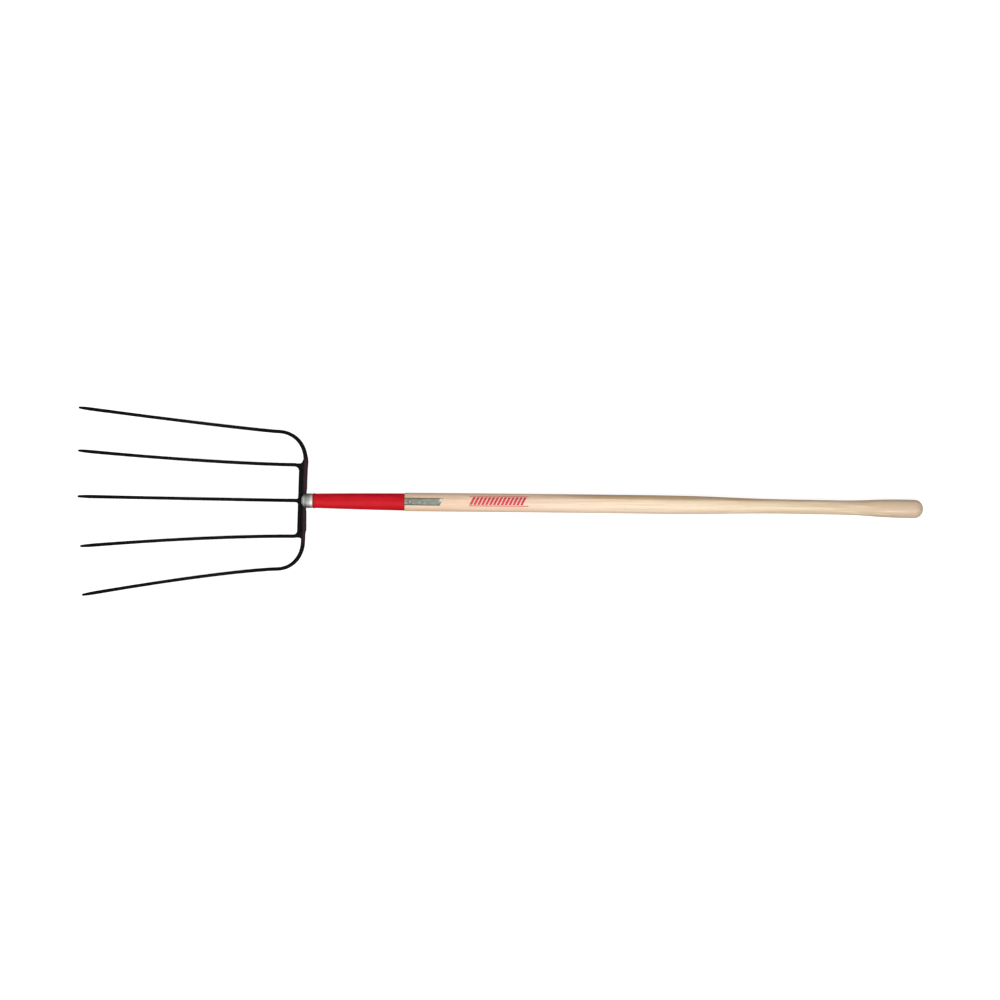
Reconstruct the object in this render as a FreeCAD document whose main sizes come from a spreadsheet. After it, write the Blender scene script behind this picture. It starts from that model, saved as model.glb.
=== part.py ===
import FreeCAD, Part
import math
import os

import Sketcher
from FreeCAD import Placement, Rotation, Vector

# Five-tine hay fork with a strapped ferrule and a swelled wooden handle.
#
# The tool is drawn with its handle's axis on X: the tips at -X, the butt at +X,
# the seam between the crossbar's two bars at X = 0, +Z on the hollow side of the
# tines. lay_on_floor() then tips it so that the tines' bellies and the butt both
# stand on Z = 0, with the origin under the middle of its length.

DIMENSIONS = {
    # Crossbar: the rear bar of the outer bow and the front bar of the inner bow
    "bar_radius": 4.1,
    "bar_pitch": 8.4,
    "bar_drop": 8.4,
    "bar_skew": 1.06,
    # Outer bow in plan: shoulders, and the +Y and -Y tips
    "shoulder_length": 56.5,
    "shoulder_half_span": 137.7,
    "shoulder_width": 58.7,
    "outer_tip_plus": 181.0,
    "outer_tip_minus": 192.0,
    "outer_flare": 1.18,
    # Inner bow in plan
    "inner_half_span": 71.5,
    "inner_bend_radius": 13.0,
    "inner_tip_plus": 94.0,
    "inner_tip_minus": 96.0,
    "inner_flare": 1.55,
    # Middle tine in plan
    "center_tip_offset": 2.5,
    "center_flare": 1.5,
    "center_root": 12.0,
    "center_blend": 100.0,
    # How far each tip reaches in front of the crossbar
    "reach_plus": 448.7,
    "reach_center": 448.7,
    "reach_inner_minus": 444.7,
    "reach_outer_minus": 440.7,
    # Side curve of the tines: a short bend down, the belly, the sweep to the tips
    "bend_start": 9.0,
    "bend_radius": 60.0,
    "bend_angle": 24.0,
    "belly_radius": 360.0,
    "sweep_radius": 560.0,
    # Oval section of a tine and its point
    "tine_half_width": 3.2,
    "tine_thinning": 0.3,
    "tine_half_depth": 4.2,
    "point_half_depth": 3.4,
    "point_length": 36.0,
    "point_bluntness": 0.25,
    "point_power": 0.6,
    # Tang inside the handle, and its cross pin
    "tang_start": 8.0,
    "tang_radius": 4.3,
    "tang_tip_radius": 3.1,
    "tang_end": 150.0,
    "tang_pin_place": 120.0,
    "tang_pin_radius": 1.5,
    "tang_pin_half_length": 14.3,
    # Ferrule cap: a dome with a skirt, notched over the crossbar
    "cap_radius": 14.6,
    "cap_inner_radius": 13.2,
    "cap_dome_center": 12.8,
    "cap_end": 20.1,
    "cap_tang_hole": 4.7,
    "cap_notch_depth": 9.0,
    "cap_notch_top": 3.95,
    # Ferrule sleeve: a rolled front bead and a long swelling barrel
    "sleeve_front": 20.4,
    "sleeve_end": 204.3,
    "sleeve_bore_front": 13.15,
    "sleeve_bore_end": 16.1,
    "bead_start_radius": 14.3,
    "bead_end": 27.0,
    "bead_end_radius": 14.5,
    "bead_curve": 6.45,
    "sleeve_end_radius": 17.2,
    "sleeve_curve": 11000.0,
    # Straps
    "strap_front": 13.5,
    "strap_long_end": 281.3,
    "strap_short_end": 274.3,
    "strap_half_width": 7.25,
    "strap_thickness": 1.6,
    "strap_front_radius": 12.9,
    "strap_end_radius": 18.3,
    "channel_clearance": 0.15,
    "channel_top": 22.0,
    # Strap rivet
    "rivet_place": 215.0,
    "rivet_radius": 2.5,
    "rivet_head_radius": 4.75,
    "rivet_head_base": 16.5,
    "rivet_head_top": 18.3,
    "rivet_head_flat": 1.2,
    "rivet_head_curve": 5.0,
    # Handle
    "handle_front": 10.4,
    "nose_chamfer": 2.0,
    "nose_radius": 12.9,
    "seat_end": 204.5,
    "seat_end_radius": 16.0,
    "shaft_edge": 1.0,
    "shaft_radius": 18.5,
    "taper_start": 715.3,
    "taper_middle": 850.15,
    "taper_middle_radius": 16.375,
    "taper_curve": 4280.0,
    "waist_start": 985.0,
    "waist_end": 1075.0,
    "waist_radius": 14.25,
    "flare_middle": 1139.0,
    "flare_middle_radius": 16.275,
    "flare_curve": 1013.0,
    "knob_start": 1203.0,
    "knob_radius": 18.3,
    "knob_end": 1225.7,
    "handle_end": 1242.7,
    "end_round": 17.0,
    "bore_clearance": 0.2,
    # Welds, and the hairline left between pieces that bear on each other
    "contact_gap": 0.05,
    "seam_half_length": 58.0,
    "seam_half_width": 1.7,
    "seam_half_height": 2.7,
    "corner_weld_half_height": 2.9,
    "corner_weld_front": 17.0,
    "corner_weld_tine_side": 73.6,
    "corner_weld_knee": 6.5,
    "corner_weld_knee_side": 74.2,
    "corner_weld_back": 1.5,
    "corner_weld_outer_side": 86.0,
    "corner_weld_inner_side": 59.0,
    "corner_weld_inner_front": 2.0,
    "corner_weld_curve": 9.5,
    "tang_weld_front": 17.5,
    "tang_weld_nose": 2.6,
    "tang_weld_shoulder": 6.5,
    "tang_weld_half_width": 10.5,
    "tang_weld_back": 2.1,
    "tang_weld_curve": 11.0,
    "tang_weld_depth": 5.9,
    "tang_weld_half_height": 3.1,
}

doc = FreeCAD.newDocument("hay_fork")
sheet = doc.addObject("Spreadsheet::Sheet", "Dims")


def fill_sheet():
    """Put every driving dimension in a cell of its own, with its name as alias."""
    for row, (name, value) in enumerate(DIMENSIONS.items(), start=1):
        sheet.set(f"A{row}", name)
        sheet.set(f"B{row}", str(value))
        sheet.setAlias(f"B{row}", name)
    doc.recompute()


def size(terms):
    """Value of one dimension, or of a sum of them such as 'knob_radius - end_round'."""
    total = 0.0
    sign = 1
    for word in terms.split():
        if word in ("+", "-"):
            sign = 1 if word == "+" else -1
        else:
            total += sign * float(sheet.get(word))
    return total


def formula(terms):
    """The same sum as an expression that points at the sheet's cells."""
    words = [word if word in ("+", "-") else f"Dims.{word}" for word in terms.split()]
    return " ".join(words)


# Sketches and features

POLES = 12  # of the spline round each oval section of a rod
NEAR_END = [0, 3, 8, 14, 21, 29, 40, 54]  # sections of a tine, closer together towards both ends
EVEN_SECTIONS = 11  # steps of equal length between them
CORNER_SECTIONS = 6
BAR_SECTION_STEP = 10
TANG_SECTIONS = (0.0, 0.08, 0.2, 0.4, 0.6, 0.8, 0.97)  # parts of the tang's length
TANG_END_SCALE = 0.7
LEVELLING_STEPS = 6
ORIGIN = (-1, 1)
ACROSS = Rotation(Vector(1, 0, 0), -90)
AXES = {"DistanceX": -2, "DistanceY": -1}


def origin_plane(body, role):
    """The body's own origin plane with this role, such as XY_Plane."""
    return next(f for f in body.Origin.OriginFeatures if f.Role == role)


def new_sketch(body, name, role):
    """A sketch on one of the body's origin planes."""
    sketch = body.newObject("Sketcher::SketchObject", name)
    sketch.AttachmentSupport = [(origin_plane(body, role), "")]
    sketch.MapMode = "FlatFace"
    return sketch


def arc_between(start, end, radius, turn):
    """Arc from start to end; turn is 1 for anticlockwise travel and -1 for clockwise."""
    chord = end - start
    middle = (start + end) * 0.5
    normal = Vector(-chord.y, chord.x, 0).normalize()
    rise = math.sqrt(max(radius**2 - chord.Length**2 / 4, 0.0))
    center = middle + normal * (rise * turn)
    first, last = (start, end) if turn > 0 else (end, start)
    angles = [math.atan2(p.y - center.y, p.x - center.x) for p in (first, last)]
    if angles[1] < angles[0]:
        angles[1] += 2 * math.pi
    return Part.ArcOfCircle(Part.Circle(center, Vector(0, 0, 1), radius), *angles)


def coordinate(terms):
    """Value of '0', of a sum of cells, or of a sum with its sign turned by a leading '~'."""
    if terms == "0":
        return 0.0
    return -size(terms[1:]) if terms[0] == "~" else size(terms)


def fix_point(sketch, edge, end, kind, terms):
    """Hold one coordinate of a point: on the axis where terms is '0', else by its cells."""
    if terms == "0":
        sketch.addConstraint(Sketcher.Constraint("PointOnObject", edge, end, AXES[kind]))
        return
    held = sketch.addConstraint(Sketcher.Constraint(kind, *ORIGIN, edge, end, coordinate(terms)))
    bound = f"-({formula(terms[1:])})" if terms[0] == "~" else formula(terms)
    sketch.setExpression(f"Constraints[{held}]", bound)


def fix_radius(sketch, edge, terms):
    """Bind the radius of an arc or circle to its cells."""
    held = sketch.addConstraint(Sketcher.Constraint("Radius", edge, size(terms)))
    sketch.setExpression(f"Constraints[{held}]", formula(terms))


def outline(sketch, corners, arcs=None):
    """Closed outline through corners, each a pair of coordinates in cells.

    arcs maps the number of a corner to (radius, turn) for the edge that follows it.
    """
    arcs = arcs or {}
    places = [Vector(coordinate(x), coordinate(y), 0) for x, y in corners]
    ends = []
    for index, start in enumerate(places):
        stop = places[(index + 1) % len(places)]
        radius, turn = arcs.get(index, (None, 1))
        shape = arc_between(start, stop, size(radius), turn) if radius else Part.LineSegment(start, stop)
        edge = sketch.addGeometry(shape)
        ends.append((edge, 1, 2) if turn > 0 else (edge, 2, 1))
    for index, (edge, first, _) in enumerate(ends):
        before, _, last = ends[index - 1]
        sketch.addConstraint(Sketcher.Constraint("Coincident", before, last, edge, first))
        fix_point(sketch, edge, first, "DistanceX", corners[index][0])
        fix_point(sketch, edge, first, "DistanceY", corners[index][1])
    for index, (radius, _) in arcs.items():
        fix_radius(sketch, ends[index][0], radius)
    return sketch


def turned(name, corners, arcs=None, axis="H_Axis", angle=360.0):
    """Body turned about an axis of a sketch in its XZ plane."""
    body = doc.addObject("PartDesign::Body", name)
    sketch = outline(new_sketch(body, name + "_profile", "XZ_Plane"), corners, arcs)
    turning = body.newObject("PartDesign::Revolution", name + "_turning")
    turning.Profile = sketch
    turning.ReferenceAxis = (sketch, [axis])
    turning.Angle = angle
    turning.Midplane = angle < 360
    return body


def slab(name, corners, arcs=None, length="channel_top"):
    """Body padded both ways from an outline in its XY plane, length in all times two."""
    body = doc.addObject("PartDesign::Body", name)
    sketch = outline(new_sketch(body, name + "_outline", "XY_Plane"), corners, arcs)
    pad = body.newObject("PartDesign::Pad", name + "_pad")
    pad.Profile = sketch
    pad.SideType = "Symmetric"
    pad.setExpression("Length", f"2 * ({formula(length)})")
    return body


def pocket_through(body, sketch):
    """Pocket that cuts the sketch right through the body, both ways."""
    pocket = body.newObject("PartDesign::Pocket", sketch.Name + "_pocket")
    pocket.Profile = sketch
    pocket.Type = "ThroughAll"
    pocket.SideType = "Symmetric"


def drill(body, name, role, place, radius):
    """Round hole right through the body, centred at place on the sketch's first axis."""
    sketch = new_sketch(body, name, role)
    circle = sketch.addGeometry(Part.Circle(Vector(coordinate(place), 0, 0), Vector(0, 0, 1), size(radius)))
    fix_point(sketch, circle, 3, "DistanceX", place)
    fix_point(sketch, circle, 3, "DistanceY", "0")
    fix_radius(sketch, circle, radius)
    pocket_through(body, sketch)


def boolean(kind, name, first, second):
    """Part::Cut or Part::Common of two objects."""
    result = doc.addObject(kind, name)
    result.Base = first
    result.Tool = second
    return result


def cylinder(name, radius, length, turn, center):
    """Cylinder bound to cells, its axis turned from Z and its middle at center."""
    rod = doc.addObject("Part::Cylinder", name)
    rod.setExpression("Radius", formula(radius))
    rod.setExpression("Height", f"2 * ({formula(length)})")
    rod.Placement = Placement(center - turn.multVec(Vector(0, 0, size(length))), turn)
    return rod


# Tines: lofts through oval sections along a curve that bends in plan and in side view

def side_height(x):
    """Height of every tine's centre line at a place x in front of the crossbar."""
    ahead = -x - size("bend_start")
    bend = math.radians(size("bend_angle"))
    bend_run = size("bend_radius") * math.sin(bend)
    belly_run = size("belly_radius") * math.sin(bend)
    bend_drop = size("bend_radius") * (1 - math.cos(bend))
    lowest = -size("bar_drop") - bend_drop - size("belly_radius") * (1 - math.cos(bend))
    if ahead <= 0:
        return -size("bar_drop")
    if ahead < bend_run:
        radius = size("bend_radius")
        return -size("bar_drop") - radius + math.sqrt(radius**2 - ahead**2)
    past_low = ahead - bend_run - belly_run
    radius = size("belly_radius") if past_low < 0 else size("sweep_radius")
    return lowest + radius - math.sqrt(radius**2 - past_low**2)


def point_scale(from_tip):
    """How much the pointed end narrows at a distance from the tip."""
    part = min(from_tip / size("point_length"), 1.0)
    blunt = size("point_bluntness")
    return blunt + (1 - blunt) * math.sin(part * math.pi / 2) ** size("point_power")


def center_height(x):
    """Height of the middle tine: it leaves the common curve to cross over both bars."""
    part = min(max(1 - (-x - size("center_root")) / size("center_blend"), 0.0), 1.0)
    return side_height(x) + size("bar_drop") * part * part * (3 - 2 * part)


def tine_stations(start_x, reach, start_y, tip_y, flare, height=side_height):
    """Centre and half sizes of the sections from the tip back to start_x."""
    run = reach + start_x
    step = (run - 2 * NEAR_END[-1]) / EVEN_SECTIONS
    between = [NEAR_END[-1] + step * count for count in range(1, EVEN_SECTIONS)]
    from_tips = NEAR_END + between + [run - gap for gap in NEAR_END[::-1]]
    stations = []
    for from_tip in from_tips:
        along = 1 - from_tip / run
        x = start_x - along * run
        y = start_y + (tip_y - start_y) * along**flare
        width = size("tine_half_width") - size("tine_thinning") * math.sin(math.pi * along)
        depth = size("tine_half_depth")
        depth += (size("point_half_depth") - depth) * along
        scale = point_scale(from_tip)
        stations.append((Vector(x, y, height(x)), width * scale, depth * scale))
    return stations


def skew_shift(y):
    """How far the slightly skewed crossbar lies towards the butt at y."""
    return y * math.tan(math.radians(size("bar_skew")))


def corner_stations(side, corner_x, corner_y, length, width):
    """Sections round a quarter turn from a tine to its bar, growing to the bar's size."""
    stations = []
    for count in range(1, CORNER_SECTIONS + 1):
        part = count / CORNER_SECTIONS
        angle = part * math.pi / 2
        y = corner_y - width + width * math.cos(angle)
        x = corner_x + length * math.sin(angle) + skew_shift(side * y) * part
        grown = part * part * (3 - 2 * part)
        half_width = size("tine_half_width") + (size("bar_radius") - size("tine_half_width")) * grown
        half_depth = size("tine_half_depth") + (size("bar_radius") - size("tine_half_depth")) * grown
        stations.append((Vector(x, side * y, side_height(x)), half_width, half_depth))
    return stations


def bar_stations(bar_x, half_length):
    """Round sections along the straight part of a bar, from +Y to -Y."""
    radius = size("bar_radius")
    count = round(half_length / BAR_SECTION_STEP)
    stations = []
    for index in range(1, 2 * count):
        y = half_length * (1 - index / count)
        stations.append((Vector(bar_x + skew_shift(y), y, -size("bar_drop")), radius, radius))
    return stations


def section(station, tangent):
    """Oval wire across the tangent, its long way as near to upright as it can be.

    It is a smooth closed spline of the third degree, with its poles just outside the oval.
    """
    center, half_width, half_depth = station
    across = tangent.cross(Vector(0, 0, 1)).normalize()
    upward = across.cross(tangent).normalize()
    step = 2 * math.pi / POLES
    swell = 3 / (2 + math.cos(step))
    poles = []
    for index in range(POLES):
        sideways = across * (half_width * swell * math.cos(index * step))
        poles.append(center + sideways + upward * (half_depth * swell * math.sin(index * step)))
    oval = Part.BSplineCurve()
    oval.buildFromPoles(poles, True, 3)
    return Part.Wire(oval.toShape())


def heading(before, here, after):
    """Direction of a curve at the middle one of three points on it."""
    back = here - before
    ahead = after - here
    return (back * (ahead.Length / back.Length) + ahead * (back.Length / ahead.Length)).normalize()


def oval_rod(stations):
    """Solid lofted from section to section through the stations."""
    centers = [station[0] for station in stations]
    first = centers[0] * 2 - centers[1]
    last = centers[-1] * 2 - centers[-2]
    line = [first] + centers + [last]
    sections = [
        section(station, heading(*line[index : index + 3])) for index, station in enumerate(stations)
    ]
    return Part.makeLoft(sections, True, True)


def shaped(name, solid):
    """Part::Feature that holds a solid made with Part's own functions."""
    feature = doc.addObject("Part::Feature", name)
    feature.Shape = solid
    return feature


def bow(name, bar_x, corner_length, corner_width, half_span, tips, reaches, flare):
    """Two tines and the bar between them, as one bent rod."""
    tines = []
    for side, tip, reach in zip((1, -1), tips, reaches):
        start_x = bar_x - corner_length
        straight = tine_stations(start_x, size(reach), side * half_span, side * size(tip), flare)
        turn = corner_stations(side, start_x, half_span, corner_length, corner_width)
        tines.append(straight + turn)
    bar = bar_stations(bar_x, half_span - corner_width)
    return shaped(name, oval_rod(tines[0] + bar + tines[1][::-1]))


def make_outer_bow():
    """Outer tines, shoulders and the rear bar."""
    return bow(
        "outer_tine_bow",
        size("bar_pitch") / 2,
        size("shoulder_length"),
        size("shoulder_width"),
        size("shoulder_half_span"),
        ("outer_tip_plus", "outer_tip_minus"),
        ("reach_plus", "reach_outer_minus"),
        size("outer_flare"),
    )


def make_inner_bow():
    """Inner tines and the front bar."""
    return bow(
        "inner_tine_bow",
        -size("bar_pitch") / 2,
        size("inner_bend_radius"),
        size("inner_bend_radius"),
        size("inner_half_span"),
        ("inner_tip_plus", "inner_tip_minus"),
        ("reach_plus", "reach_inner_minus"),
        size("inner_flare"),
    )


def make_center_tine():
    """Middle tine, which crosses over both bars and goes on as the tang in the handle."""
    root = -size("center_root")
    reach = size("reach_center")
    offset = size("center_tip_offset")
    stations = tine_stations(root, reach, 0.0, offset, size("center_flare"), center_height)
    half_width = size("tine_half_width")
    half_depth = size("tine_half_depth")
    stations += [(Vector(x, 0, 0), half_width, half_depth) for x in (root / 2, root / 4)]
    length = size("tang_end") - size("tang_start")
    for part in TANG_SECTIONS:
        radius = size("tang_radius") + (size("tang_tip_radius") - size("tang_radius")) * part
        stations.append((Vector(size("tang_start") + length * part, 0, 0), radius, radius))
    radius = size("tang_tip_radius") * TANG_END_SCALE
    stations.append((Vector(size("tang_end"), 0, 0), radius, radius))
    blank = shaped("center_tine_blank", oval_rod(stations))
    place = Vector(size("tang_pin_place"), 0, 0)
    bore = cylinder("tang_pin_bore", "tang_pin_radius + contact_gap", "tang_radius", ACROSS, place)
    return boolean("Part::Cut", "center_tine", blank, bore)


# Ferrule, straps, fasteners and handle

def make_cap():
    """Domed cap with a hole for the tang and a notch that sits over the crossbar."""
    corners = [
        ("cap_dome_center - cap_radius", "0"),
        ("cap_dome_center", "cap_radius"),
        ("cap_end", "cap_radius"),
        ("cap_end", "cap_inner_radius"),
        ("cap_dome_center", "cap_inner_radius"),
        ("cap_dome_center - cap_inner_radius", "0"),
    ]
    arcs = {0: ("cap_radius", -1), 4: ("cap_inner_radius", 1)}
    body = turned("ferrule_cap", corners, arcs)
    doc.recompute()
    drill(body, "cap_tang_hole_sketch", "YZ_Plane", "0", "cap_tang_hole")
    notch = outline(
        new_sketch(body, "cap_notch_sketch", "XZ_Plane"),
        [
            ("~channel_top", "~cap_notch_top"),
            ("~channel_top", "~channel_top"),
            ("cap_notch_depth", "~channel_top"),
            ("cap_notch_depth", "~cap_notch_top"),
        ],
    )
    pocket_through(body, notch)
    return body


def make_sleeve():
    """Long barrel with a rolled bead at its front end."""
    corners = [
        ("sleeve_front", "sleeve_bore_front"),
        ("sleeve_front", "bead_start_radius"),
        ("bead_end", "bead_end_radius"),
        ("sleeve_end", "sleeve_end_radius"),
        ("sleeve_end", "sleeve_bore_end"),
    ]
    return turned("ferrule_sleeve", corners, {1: ("bead_curve", -1), 2: ("sleeve_curve", -1)})


def make_strap(name, sign, plan):
    """Strap on the +Z face (sign '') or the -Z face (sign '~'), bored for the rivet."""
    corners = [
        ("strap_front", sign + "strap_front_radius"),
        ("seat_end", sign + "seat_end_radius"),
        ("strap_long_end", sign + "strap_end_radius"),
        ("strap_long_end", sign + "strap_end_radius - strap_thickness"),
        ("seat_end", sign + "seat_end_radius - strap_thickness"),
        ("strap_front", sign + "strap_front_radius - strap_thickness"),
    ]
    shell = turned(name + "_shell", corners, angle=180.0)
    blank = boolean("Part::Common", name + "_blank", shell, plan)
    place = Vector(size("rivet_place"), 0, 0)
    bore = cylinder(name + "_bore", "rivet_radius + contact_gap", "channel_top", Rotation(), place)
    return boolean("Part::Cut", name, blank, bore)


def make_strap_plan():
    """Outline of both straps from above: straight sides and a slanted rear end."""
    corners = [
        ("strap_front", "~strap_half_width"),
        ("strap_short_end", "~strap_half_width"),
        ("strap_long_end", "strap_half_width"),
        ("strap_front", "strap_half_width"),
    ]
    return slab("strap_plan", corners)


def make_rivet():
    """Rivet through both straps, with a low domed head at each end."""
    corners = [
        ("0", "~rivet_head_top"),
        ("rivet_head_flat", "~rivet_head_top"),
        ("rivet_head_radius", "~rivet_head_base"),
        ("rivet_radius", "~rivet_head_base"),
        ("rivet_radius", "rivet_head_base"),
        ("rivet_head_radius", "rivet_head_base"),
        ("rivet_head_flat", "rivet_head_top"),
        ("0", "rivet_head_top"),
    ]
    arcs = {1: ("rivet_head_curve", 1), 5: ("rivet_head_curve", 1)}
    return turned("strap_rivet", corners, arcs, axis="V_Axis")


def make_channels():
    """The space milled out of the handle for both straps."""
    side = "strap_half_width + channel_clearance"
    plan = slab(
        "channel_plan",
        [
            ("cap_dome_center - cap_radius", "~" + side),
            ("strap_short_end + channel_clearance", "~" + side),
            ("strap_long_end + channel_clearance", side),
            ("cap_dome_center - cap_radius", side),
        ],
    )
    ring = turned(
        "channel_ring",
        [
            ("handle_front - nose_chamfer", "strap_front_radius - strap_thickness - contact_gap"),
            ("strap_front", "strap_front_radius - strap_thickness - contact_gap"),
            ("seat_end", "seat_end_radius - strap_thickness - contact_gap"),
            ("strap_long_end", "strap_end_radius - strap_thickness - contact_gap"),
            ("strap_long_end + nose_chamfer", "strap_end_radius - strap_thickness"),
            ("strap_long_end + nose_chamfer", "channel_top"),
            ("handle_front - nose_chamfer", "channel_top"),
        ],
    )
    return boolean("Part::Common", "strap_channels", ring, plan)


def make_handle():
    """Turned shaft: seat for the ferrule, long shaft, slim waist, swelled butt."""
    corners = [
        ("handle_front", "0"),
        ("handle_front", "nose_radius - nose_chamfer"),
        ("handle_front + nose_chamfer", "nose_radius"),
        ("seat_end", "seat_end_radius"),
        ("seat_end", "shaft_radius - shaft_edge"),
        ("seat_end + shaft_edge", "shaft_radius"),
        ("taper_start", "shaft_radius"),
        ("taper_middle", "taper_middle_radius"),
        ("waist_start", "waist_radius"),
        ("waist_end", "waist_radius"),
        ("flare_middle", "flare_middle_radius"),
        ("knob_start", "knob_radius"),
        ("knob_end", "knob_radius"),
        ("handle_end", "knob_radius - end_round"),
        ("handle_end", "0"),
    ]
    arcs = {
        6: ("taper_curve", -1),
        7: ("taper_curve", 1),
        9: ("flare_curve", 1),
        10: ("flare_curve", -1),
        12: ("end_round", -1),
    }
    body = turned("handle_turning", corners, arcs)
    doc.recompute()
    bore = outline(
        new_sketch(body, "tang_bore_profile", "XZ_Plane"),
        [
            ("handle_front - nose_chamfer", "0"),
            ("handle_front - nose_chamfer", "tang_radius + bore_clearance"),
            ("tang_end", "tang_tip_radius + bore_clearance"),
            ("tang_end + bore_clearance", "0"),
        ],
    )
    groove = body.newObject("PartDesign::Groove", "tang_bore")
    groove.Profile = bore
    groove.ReferenceAxis = (bore, ["H_Axis"])
    groove.Angle = 360.0
    drill(body, "rivet_hole_sketch", "XY_Plane", "rivet_place", "rivet_radius + contact_gap")
    drill(body, "pin_hole_sketch", "XZ_Plane", "tang_pin_place", "tang_pin_radius + contact_gap")
    return boolean("Part::Cut", "handle", body, make_channels())


# Welds

def make_seam_weld():
    """Weld that fills the valleys between the two bars, above and below."""
    block = slab(
        "seam_block",
        [
            ("~seam_half_width", "~seam_half_length"),
            ("seam_half_width", "~seam_half_length"),
            ("seam_half_width", "seam_half_length"),
            ("~seam_half_width", "seam_half_length"),
        ],
        length="seam_half_height",
    )
    bars = doc.addObject("Part::MultiFuse", "seam_bars")
    bars.Shapes = [
        cylinder(name, "bar_radius + contact_gap", "shoulder_half_span", ACROSS, Vector(x, 0, 0))
        for name, x in (("rear_bar_gauge", size("bar_pitch") / 2), ("front_bar_gauge", -size("bar_pitch") / 2))
    ]
    return boolean("Part::Cut", "crossbar_weld", block, bars)


def corner_block(name, sign, turn):
    """Fillet of weld between an inner tine and the outer bow, before the rods are taken out."""
    corners = [
        ("~corner_weld_front", sign + "corner_weld_tine_side"),
        ("~corner_weld_knee", sign + "corner_weld_knee_side"),
        ("corner_weld_back", sign + "corner_weld_outer_side"),
        ("corner_weld_back", sign + "corner_weld_inner_side"),
        ("~corner_weld_inner_front", sign + "corner_weld_inner_side"),
    ]
    return slab(name, corners, {1: ("corner_weld_curve", turn)}, length="corner_weld_half_height")


def make_corner_welds(bows):
    """The two fillets of weld where the inner tines meet the outer bow."""
    blocks = doc.addObject("Part::Compound", "corner_blocks")
    blocks.Links = [corner_block("corner_block_plus", "", 1), corner_block("corner_block_minus", "~", -1)]
    blocks.Placement = Placement(Vector(0, 0, -size("bar_drop")), Rotation())
    return boolean("Part::Cut", "corner_welds", blocks, bows)


def make_tang_weld(rods):
    """Saddle of weld that holds the middle tine on the front bar."""
    block = slab(
        "tang_weld_block",
        [
            ("~tang_weld_front", "~tang_weld_nose"),
            ("~tang_weld_shoulder", "~tang_weld_half_width"),
            ("~tang_weld_back", "~tang_weld_half_width"),
            ("~tang_weld_back", "tang_weld_half_width"),
            ("~tang_weld_shoulder", "tang_weld_half_width"),
            ("~tang_weld_front", "tang_weld_nose"),
        ],
        {0: ("tang_weld_curve", -1), 4: ("tang_weld_curve", -1)},
        length="tang_weld_half_height",
    )
    block.Placement = Placement(Vector(0, 0, -size("tang_weld_depth")), Rotation())
    return boolean("Part::Cut", "tang_weld", block, rods)


# Assembly

def build():
    """All the sub-parts by node name, drawn about the handle's axis."""
    outer = make_outer_bow()
    inner = make_inner_bow()
    center = make_center_tine()
    doc.recompute()
    bows = shaped("bow_rods", Part.Compound([outer.Shape, inner.Shape]))
    rods = shaped("all_rods", Part.Compound([outer.Shape, inner.Shape, doc.center_tine_blank.Shape]))
    plan = make_strap_plan()
    pin_place = Vector(size("tang_pin_place"), 0, 0)
    return [
        outer,
        inner,
        center,
        make_seam_weld(),
        make_corner_welds(bows),
        make_tang_weld(rods),
        make_cap(),
        make_sleeve(),
        make_strap("front_strap", "", plan),
        make_strap("rear_strap", "~", plan),
        make_rivet(),
        cylinder("tang_pin", "tang_pin_radius", "tang_pin_half_length", ACROSS, pin_place),
        make_handle(),
    ]


def turned_box(shape, pitch):
    """Exact box of a shape after a pitch, in radians, about the Y axis."""
    copy = shape.copy()
    copy.Placement = Placement(Vector(), Rotation(Vector(0, 1, 0), math.degrees(pitch)))
    return copy.optimalBoundingBox(False, False)


def lie_on_floor():
    """Placement that stands the tines' bellies and the butt on Z = 0, centred in length."""
    tines = doc.outer_tine_bow.Shape
    shaft = doc.handle.Shape
    lever = size("knob_end + bend_start") + size("belly_radius") / 2
    pitch = 0.0
    for _ in range(LEVELLING_STEPS):
        pitch += (turned_box(shaft, pitch).ZMin - turned_box(tines, pitch).ZMin) / lever
    box = turned_box(Part.Compound([tines, shaft]), pitch)
    turn = Rotation(Vector(0, 1, 0), math.degrees(pitch))
    print(f"pitch {math.degrees(pitch):.4f} degrees, size {box.XLength:.2f} x {box.YLength:.2f} x {box.ZLength:.2f}")
    return Placement(Vector(-(box.XMin + box.XMax) / 2, 0, -box.ZMin), turn)


def place(parts):
    """Give every sub-part its place on the floor; some first take their place on the tool."""
    floor = lie_on_floor()
    skew = Rotation(Vector(0, 0, 1), -size("bar_skew"))
    doc.crossbar_weld.Placement = Placement(Vector(0, 0, -size("bar_drop")), skew)
    doc.strap_rivet.Placement = Placement(Vector(size("rivet_place"), 0, 0), Rotation())
    for part in parts:
        part.Placement = floor.multiply(part.Placement)


def check(parts):
    """Stop if any object failed, or if a sub-part isn't a valid solid."""
    for item in doc.Objects:
        if "Invalid" in item.State or "Error" in item.State:
            raise RuntimeError(f"{item.Label} failed: {item.State}")
    for part in parts:
        shape = part.Shape
        if shape.isNull() or not shape.isValid() or not shape.Solids:
            raise RuntimeError(f"{part.Label} has no valid solid")
        print(f"{part.Label}: {len(shape.Solids)} solid(s), {shape.Volume:.1f} mm3")
    for body in (doc.ferrule_cap, doc.handle_turning):
        steps = [item.Shape.Volume for item in body.Group if hasattr(item, "BaseFeature")]
        if steps != sorted(steps, reverse=True) or len(set(steps)) != len(steps):
            raise RuntimeError(f"a pocket or groove of {body.Label} removed nothing: {steps}")


def export(parts):
    """Write each sub-part to its own STEP file, named after its label."""
    os.makedirs("parts", exist_ok=True)
    for part in parts:
        part.Shape.exportStep(f"parts/{part.Label}.step")


fill_sheet()
sub_parts = build()
doc.recompute()
place(sub_parts)
doc.recompute()
check(sub_parts)
export(sub_parts)
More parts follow.
